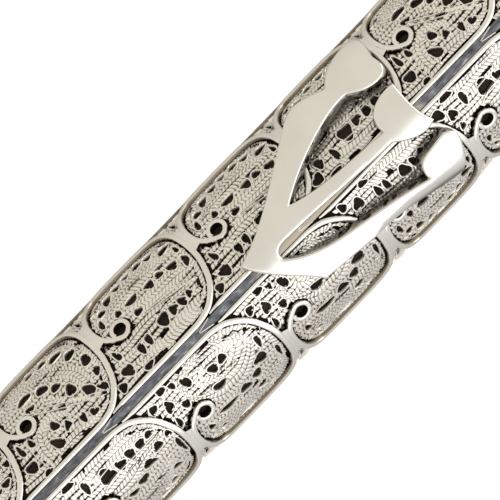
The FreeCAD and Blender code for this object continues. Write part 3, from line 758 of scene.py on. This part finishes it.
# ---- filling ----
def hook_line(unit):
    """Middle line of one frame wire with its curl, and its half width at each point."""
    top, stretch = TOPS[unit], PITCHES[unit] / NOMINAL_PITCH
    path = [RIB_TAIL] + HOOK_PATH if unit < UNITS - 1 else HOOK_PATH
    points = [(s, top + z * stretch) for s, z, _ in path]
    widths = [half for _, _, half in path]
    points[0] = (points[0][0], max(points[0][1], -HALF_BODY + 0.05))
    centre_s, centre_z = CURL[0], top + CURL[1] * stretch
    for degrees in CURL_DEGREES:
        angle = math.radians(degrees)
        points.append((centre_s + CURL_LINE_RADIUS * math.cos(angle),
                       centre_z + CURL_LINE_RADIUS * math.sin(angle)))
        widths.append(CURL_HALF_WIRE)
    line = smooth_line(points, samples=600)
    nearest = [int(np.argmin(np.hypot(*(line - np.array(point)).T))) for point in points]
    return line, np.interp(np.arange(len(line)), nearest, widths)


# How far the rows under the motifs, and the motifs' rows, stay from the middle of a frame wire.
UNDER_CLEARANCE = 0.52
ROW_CLEARANCE = 0.40
HOOK_LINES = [hook_line(unit) for unit in range(UNITS)]


def make_filling(column, designs, rng):
    """All the twisted and thin wire of one column, cut away under its frame wires."""
    rows, plain, openings = Relief(), Relief(), []
    for unit, design in enumerate(designs):
        top, stretch = TOPS[unit], PITCHES[unit] / NOMINAL_PITCH
        unit_rows, unit_plain, unit_openings = unit_work(design, rng)
        rows.merged(unit_rows, top, stretch)
        plain.merged(unit_plain, top, stretch)
        openings += [(s, top + z * stretch, *rest) for s, z, *rest in unit_openings]
    for s, z, *rest in TOP_OPENINGS:
        placed = (s, TOPS[0] + z, *rest)
        loop(plain, placed, 0.07, 0.12, 0.5, step=0.17)
        openings.append(placed)
    wires = [line for line, _ in HOOK_LINES]
    filling = Relief()
    filling.merged(clipped(under_rows(rng), openings, wires, UNDER_CLEARANCE))
    filling.merged(clipped(rows, openings, wires, ROW_CLEARANCE))
    filling.merged(plain)
    for vertices in filling.vertices:
        np.clip(vertices[:, 1], SOLDER_GAP - HALF_BODY, HALF_BODY - SOLDER_GAP, out=vertices[:, 1])
    piece = relief_piece(f"twisted_wire_{column}", filling, column, FILIGREE)
    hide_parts(f"filling_{column}")


for number, (column, designs) in enumerate(UNIT_DESIGNS.items()):
    make_filling(column, designs, random.Random(number))


# ---- frame wires ----
FRAME_PROFILE = [(-1, 0), (-1, 0.74), (-0.9, 0.92), (-0.6, 0.99), (0, 1.0), (0.6, 0.99),
                 (0.9, 0.92), (1, 0.74), (1, 0)]


def frame_wire(unit):
    """One scrolled frame wire with its curl, as a relief at its own height."""
    line, half_width = HOOK_LINES[unit]
    relief = Relief()
    sweep(relief, line, half_width, FRAME_PROFILE, FRAME_RADIUS - BASE_RADIUS, step=0.16)
    return relief


for column in COLUMNS:
    for unit in range(UNITS):
        piece = relief_piece(f"scroll_wire_{column}_{unit + 1}", frame_wire(unit), column, WIRE_SILVER)
        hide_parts(f"frame_wire_{column}_{unit + 1}")


# ---- solder and the small wedges on the rib ----
RIB_WEDGE = [(0.44, -3.6), (0.26, -4.4), (0.03, -5.5)]
SEAM = [(6.5, -12.66), (7.4, -12.94), (8.8, -13.13), (10.3, -13.17)]
SEAM_HALF_WIDTH = 0.36
SEAM_FLARE = 0.22
SEAM_POINTS = 60


def joint_work():
    """Solder where a frame wire rests on the next arch, and the V of wire on the rib below it."""
    relief = Relief()
    for unit in range(UNITS):
        top = TOPS[unit]
        wire(relief, [(s, top + z) for s, z in RIB_WEDGE], 0.15, 0.86)
        if unit < UNITS - 1:
            stretch = PITCHES[unit] / NOMINAL_PITCH
            seam = [(s, top + z * stretch) for s, z in SEAM]
            reach = SEAM_HALF_WIDTH + SEAM_FLARE * np.linspace(-1, 1, SEAM_POINTS) ** 2
            line = smooth_line(seam, samples=SEAM_POINTS)
            sweep(relief, line, reach, FRAME_PROFILE, 0.85, end_drop=False)
    return relief


for column in COLUMNS:
    piece = relief_piece(f"solder_{column}", joint_work(), column, WIRE_SILVER)


# ---- the raised letter ----
FACE_DEPTH = 0.02
SHARP_TURN = 0.4


def face_outline(node, face_radius):
    """The loop round the outer face of a wrapped CAD plate, as flat (s, z) points at that radius."""
    mesh = bmesh.new()
    mesh.from_mesh(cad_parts[node].data)
    bmesh.ops.remove_doubles(mesh, verts=mesh.verts, dist=1e-6)

    def is_outer(face):
        return all(math.hypot(v.co.x / MM, v.co.y / MM - AXIS_Y) > face_radius - FACE_DEPTH
                   for v in face.verts)

    rim = {}
    for edge in mesh.edges:
        if sum(is_outer(face) for face in edge.link_faces) == 1:
            a, b = edge.verts
            rim.setdefault(a, []).append(b)
            rim.setdefault(b, []).append(a)
    start = next(iter(rim))
    around = [start]
    while True:
        ahead = [vertex for vertex in rim[around[-1]] if vertex not in around[-2:]]
        if not ahead or ahead[0] is start:
            break
        around.append(ahead[0])
    places = [vertex.co / MM for vertex in around]
    points = np.array([(face_radius * math.atan2(p.x, AXIS_Y - p.y), p.z) for p in places])
    mesh.free()
    return points


def signed_area(points):
    """The area inside a loop, negative where it runs clockwise."""
    x, y = points[:, 0], points[:, 1]
    return float(np.sum(x * np.roll(y, -1) - np.roll(x, -1) * y)) / 2


def even_loop(points, spacing):
    """The same loop with evenly spread points, keeping its corners."""
    ahead = np.roll(points, -1, axis=0) - points
    heading = np.arctan2(ahead[:, 1], ahead[:, 0])
    turn = (heading - np.roll(heading, 1) + math.pi) % (2 * math.pi) - math.pi
    corners = [i for i in range(len(points)) if abs(turn[i]) > SHARP_TURN]
    points = np.roll(points, -corners[0], axis=0)
    corners = [i - corners[0] for i in corners] + [len(points)]
    looped = np.vstack([points, points[:1]])
    runs = []
    for first, last in zip(corners, corners[1:]):
        run = looped[first:last + 1]
        runs.append(even(run, max(2, round(line_length(run) / spacing) + 1))[:-1])
    return np.vstack(runs)


def inset(points, distance):
    """Moves an anticlockwise loop inwards; points that would cross at a corner gather on it."""
    ahead = np.roll(points, -1, axis=0) - points
    ahead /= np.hypot(*ahead.T)[:, None]
    behind = np.roll(ahead, 1, axis=0)
    normal = np.stack([-(ahead[:, 1] + behind[:, 1]), ahead[:, 0] + behind[:, 0]], axis=1)
    size = np.hypot(*normal.T)[:, None]
    moved = points + normal / size * distance / np.clip(size / 2, 0.5, 1)
    starts, ends = points, np.roll(points, -1, axis=0)
    edge = ends - starts
    length2 = (edge**2).sum(axis=1)
    clear = np.ones(len(points), bool)
    for i, place in enumerate(moved):
        share = np.clip(((place - starts) * edge).sum(axis=1) / length2, 0, 1)
        gap = np.hypot(*(starts + edge * share[:, None] - place).T).min()
        clear[i] = gap > distance * 0.97
    good = np.nonzero(clear)[0]
    for i in np.nonzero(~clear)[0]:
        before = good[good < i][-1] if (good < i).any() else good[-1]
        after = good[good > i][0] if (good > i).any() else good[0]
        moved[i] = (moved[before] + moved[after]) / 2
    return moved


def inside_outline(point, outline):
    """Whether a flat point is inside an outline."""
    x, y = point
    a, b = outline, np.roll(outline, -1, axis=0)
    spans = (a[:, 1] > y) != (b[:, 1] > y)
    crossing = a[:, 0] + (y - a[:, 1]) * (b[:, 0] - a[:, 0]) / np.where(spans, b[:, 1] - a[:, 1], 1)
    return bool((spans & (crossing > x)).sum() % 2)


EDGE_ROUNDING = 0.28
OUTLINE_SPACING = 0.22
FACE_GRID = 0.3
WALL_FOOT = 10.2
WALL_SHADE_DEPTH = 1.4
# The right arm's outer side is filed to a slope: where the slope starts, as (z above the tip, s).
FACET_START = [(10.5, 6.4), (13.0, 5.7), (16.5, 6.0), (20.2, 6.9), (23.2, 7.7), (25.0, 8.0)]
FACET_SLOPE = 0.52
FACET_BLEND = 0.45
UNFILED = 99


def facet_drop(s, z_above_tip):
    """How far the filed side lies below the letter's face."""
    heights, starts = zip(*FACET_START)
    beyond = np.maximum(0, s - np.interp(z_above_tip, heights, starts, left=UNFILED))
    curved = np.minimum(beyond, FACET_BLEND)
    return FACET_SLOPE * (curved**2 / (2 * FACET_BLEND) + beyond - curved)


def make_letter():
    """The raised letter: straight side walls, rounded edges and a flat face with one filed side."""
    outline = face_outline("raised_letter", LETTER_RADIUS)
    if signed_area(outline) < 0:
        outline = outline[::-1]
    outline = even_loop(outline, OUTLINE_SPACING)
    count = len(outline)
    levels = [(0.0, FRAME_RADIUS + SOLDER_GAP), (0.0, WALL_FOOT), (0.0, LETTER_RADIUS - EDGE_ROUNDING)]
    for degrees in (25, 50, 70, 90):
        angle = math.radians(degrees)
        levels.append((EDGE_ROUNDING * (1 - math.cos(angle)),
                       LETTER_RADIUS - EDGE_ROUNDING * (1 - math.sin(angle))))
    rims = [inset(outline, depth) if depth else outline for depth, _ in levels]
    flat = [np.column_stack([rim, np.full(count, radius)]) for rim, (_, radius) in zip(rims, levels)]
    rim = rims[-1]
    low, high = rim.min(axis=0), rim.max(axis=0)
    grid = [Vector((s, z)) for s in np.arange(low[0], high[0], FACE_GRID)
            for z in np.arange(low[1], high[1], FACE_GRID)]
    rim_points = [Vector(point) for point in rim]
    rim_edges = [(i, (i + 1) % count) for i in range(count)]
    face_points, _, triangles, *_ = delaunay_2d_cdt(rim_points + grid, rim_edges, [], 1, 1e-4)
    face_flat = np.array([tuple(point) for point in face_points])
    flat.append(np.column_stack([face_flat, np.full(len(face_flat), LETTER_RADIUS)]))
    vertices = np.vstack(flat)
    raised = vertices[:, 2] > LETTER_RADIUS - EDGE_ROUNDING - 0.01
    vertices[raised, 2] -= facet_drop(vertices[raised, 0], vertices[raised, 1] - outline[:, 1].min())
    places = wrapped(vertices[:, 0] / LETTER_RADIUS * FLAT_RADIUS, vertices[:, 1], vertices[:, 2])
    mesh = bmesh.new()
    corners = [mesh.verts.new(place) for place in places]
    for level in range(len(levels) - 1):
        for i in range(count):
            j = (i + 1) % count
            a, b = level * count, (level + 1) * count
            mesh.faces.new((corners[a + i], corners[a + j], corners[b + j], corners[b + i]))
    base = len(levels) * count
    for triangle in triangles:
        middle = face_flat[list(triangle)].mean(axis=0)
        if inside_outline(middle, rim):
            mesh.faces.new([corners[base + i] for i in triangle])
    bmesh.ops.remove_doubles(mesh, verts=mesh.verts, dist=4e-6)
    loose = [vertex for vertex in mesh.verts if not vertex.link_faces]
    bmesh.ops.delete(mesh, geom=loose, context="VERTS")
    bmesh.ops.recalc_face_normals(mesh, faces=mesh.faces)
    for face in mesh.faces:
        face.smooth = True
    # The shade falls with the radius: painted shade on the walls and the filed facet.
    depth = mesh.verts.layers.float.new("shade")
    for vertex in mesh.verts:
        radius = math.hypot(vertex.co.x, vertex.co.y - AXIS_Y * MM) / MM
        vertex[depth] = min(1.0, max(0.0, (radius - FRAME_RADIUS) / WALL_SHADE_DEPTH))
    data = bpy.data.meshes.new("letter")
    mesh.to_mesh(data)
    mesh.free()
    data.set_sharp_from_angle(angle=math.radians(50))
    data.materials.append(LETTER_SILVER)
    piece = add_object("letter", data)
    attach(piece, "case")
    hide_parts("raised_letter")


make_letter()


# ---- border wires, twisted rings and the pieces that keep their CAD shape ----
BORDER_HALF_WIDTH = 0.35
BORDER_HEIGHT = 0.76


def border_wire(side):
    """A drawn wire with a rounded top, up the side of the filigree."""
    relief = Relief()
    reach = HALF_BODY - SOLDER_GAP
    line = np.stack([np.full(200, side * QUARTER), np.linspace(-reach, reach, 200)], 1)
    sweep(relief, line, BORDER_HALF_WIDTH, ROUND_PROFILE, BORDER_HEIGHT, step=0.6, end_drop=False)
    return relief


# The left border wire is painted darker than the right: painted side shade, the light coming from the
# right.
for name, side, wear_and_painted_side_shade in (("left_border_wire", -1, 0.45), ("right_border_wire", 1, 0.85)):
    flat = border_wire(side)
    places = wrapped(*flat.vertices[0].T)
    faces = np.vstack(flat.faces)[:, ::-1]
    piece = mesh_piece(f"drawn_{name}", places, faces, FILIGREE, flat.shades[0] * wear_and_painted_side_shade)
    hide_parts(name)

STRIP_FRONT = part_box("back_strip")[0].y / MM
RING_SECTION = 12
ROWS_PER_TWIST = 6
TWIST_DEPTH = 0.26
# A ring's radius, its wire's radius and the length of one twist.
BODY_RING = (9.85, 0.6, 1.7)
CAP_RING = (9.36, 0.42, 1.2)


def twisted_ring(name, node, sizes, body):
    """Two wires twisted together and bent round the tube, filed flat where they lie on the strip."""
    ring_radius, wire_radius, pitch = sizes
    low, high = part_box(node)
    height = (low.z + high.z) / 2 / MM
    twists = round(2 * math.pi * ring_radius / pitch)
    rows = twists * ROWS_PER_TWIST
    along = np.arange(rows) * 2 * math.pi / rows
    section = np.arange(RING_SECTION) * 2 * math.pi / RING_SECTION
    lobes = np.abs(np.cos(section[None, :] - along[:, None] * twists / 2))
    reach = wire_radius * (1 - TWIST_DEPTH + TWIST_DEPTH * lobes)
    out = ring_radius + reach * np.cos(section[None, :])
    rise = reach * np.sin(section[None, :])
    x = out * np.sin(along[:, None])
    y = np.minimum(AXIS_Y - out * np.cos(along[:, None]), STRIP_FRONT - SOLDER_GAP)
    places = np.stack([x, y, height + rise], axis=2).reshape(-1, 3) * MM
    index = np.arange(rows * RING_SECTION).reshape(rows, RING_SECTION)
    index = np.vstack([index, index[:1]])
    index = np.hstack([index, index[:, :1]])
    faces = np.stack([index[:-1, :-1], index[:-1, 1:], index[1:, 1:], index[1:, :-1]], 2).reshape(-1, 4)
    # The shade is low between the strands, so the creases are painted dark: partly oxide, partly painted
    # shade.
    piece = mesh_piece(name, places, faces, FILIGREE, (lobes**2).reshape(-1), body)
    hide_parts(node)


for end in ("top", "bottom"):
    for place in ("inner", "outer"):
        twisted_ring(f"twisted_{end}_{place}_ring", f"{end}_{place}_ring", BODY_RING, "case")
    cap_body = "bottom_cap" if end == "bottom" else "case"
    twisted_ring(f"twisted_{end}_cap_wire", f"{end}_cap_rope", CAP_RING, cap_body)


def dress(node, material):
    """Gives a CAD node its material."""
    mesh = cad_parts[node].data
    mesh.materials.clear()
    mesh.materials.append(material)


NODE_MATERIALS = {"liner_tube": BLACK, "front_rib": RIB_SILVER, "rear_rib": RIB_SILVER,
                  "scroll": PARCHMENT, "back_strip": SATIN, "bottom_cap_sleeve": SATIN}
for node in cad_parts:
    dress(node, NODE_MATERIALS.get(node, TURNED_SILVER))


# ---- stage, light and camera ----
FLOOR_DROP = 0.15
VIEW_WIDTH = 0.0497
CAMERA_ROLL = 44
CAMERA_TURN = -2
LENS = 250
SENSOR = 36
# The point in the middle of the view: above the letter's tip, and left of the case's middle line.
TARGET_RISE = 0.00188
TARGET_SHIFT = 0.00177


def make_floor():
    """A pale round floor, far enough below the case that the cap can be pulled right out."""
    bpy.ops.mesh.primitive_circle_add(vertices=256, radius=0.6, fill_type="NGON",
                                      location=(0, 0, cad_box[0].z - FLOOR_DROP))
    floor = bpy.context.object
    floor.name = "floor"
    material, _, shader = new_material("pale_floor")
    set_inputs(shader, Base_Color=(0.86, 0.86, 0.85, 1), Roughness=0.9)
    floor.data.materials.append(material)


def area_light(name, place, size, power, colour, aim):
    """A soft panel of light that faces a point."""
    data = bpy.data.lights.new(name, "AREA")
    data.shape = "RECTANGLE"
    data.size, data.size_y = size
    data.energy = power
    data.color = colour
    light = add_object(name, data)
    light.location = place
    light.rotation_mode = "QUATERNION"
    light.rotation_quaternion = (Vector(aim) - Vector(place)).to_track_quat("-Z", "Y")


def make_world():
    """White behind the object; its reflections show a warm room, dimmer at the back."""
    world = bpy.data.worlds.new("studio")
    bpy.context.scene.world = world
    world.use_nodes = True
    tree = world.node_tree
    tree.nodes.clear()
    output = tree.nodes.new("ShaderNodeOutputWorld")
    seen = tree.nodes.new("ShaderNodeBackground")
    set_inputs(seen, Color=(1, 1, 1, 1))
    split = tree.nodes.new("ShaderNodeSeparateXYZ")
    tree.links.new(tree.nodes.new("ShaderNodeTexCoord").outputs["Generated"], split.inputs["Vector"])
    tones = ramp(tree, ranged(tree, split.outputs["X"], -0.3, 0.6, 0.0, 1.0),
                 [(0.0, (0.74, 0.70, 0.615)), (1.0, (0.71, 0.70, 0.68))])
    room = tree.nodes.new("ShaderNodeBackground")
    tree.links.new(tones, room.inputs["Color"])
    tree.links.new(ranged(tree, split.outputs["Y"], 0.0, 0.85, 1.0, 0.70), room.inputs["Strength"])
    mix = tree.nodes.new("ShaderNodeMixShader")
    tree.links.new(tree.nodes.new("ShaderNodeLightPath").outputs["Is Camera Ray"], mix.inputs["Fac"])
    tree.links.new(room.outputs[0], mix.inputs[1])
    tree.links.new(seen.outputs[0], mix.inputs[2])
    tree.links.new(mix.outputs[0], output.inputs["Surface"])


def make_camera():
    """Looks square at the front, two degrees from the left, rolled so that the case leans right."""
    tilt = math.radians(CAMERA_ROLL)
    turn = math.radians(CAMERA_TURN)
    letter_low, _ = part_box("raised_letter")
    across = Vector((math.cos(turn), math.sin(turn), 0))
    forward = Vector((-math.sin(turn), math.cos(turn), 0))
    target = Vector((0, AXIS_Y * MM, letter_low.z + TARGET_RISE)) - across * TARGET_SHIFT
    right = across * math.cos(tilt) + Vector((0, 0, math.sin(tilt)))
    up = -across * math.sin(tilt) + Vector((0, 0, math.cos(tilt)))
    data = bpy.data.cameras.new("camera")
    data.lens = LENS
    data.sensor_width = SENSOR
    camera = add_object("camera", data)
    distance = VIEW_WIDTH * LENS / SENSOR + FRAME_RADIUS * MM
    place = target - forward * distance
    basis = Matrix((right, up, -forward)).transposed().to_4x4()
    camera.matrix_world = Matrix.Translation(place) @ basis
    data.clip_start = 0.01
    data.clip_end = 10
    bpy.context.scene.camera = camera


make_floor()
make_world()
make_camera()
area_light("right_panel", (0.32, -1.14, 0.0), (2.03, 2.0), 9.0, (1.0, 0.995, 0.99), (0, -1.14, 0.0))
area_light("top", (0.0, -0.1, 0.8), (0.5, 0.5), 1.5, (1.0, 0.98, 0.95), (0, 0, 0))
bpy.context.scene.view_settings.view_transform = "Standard"
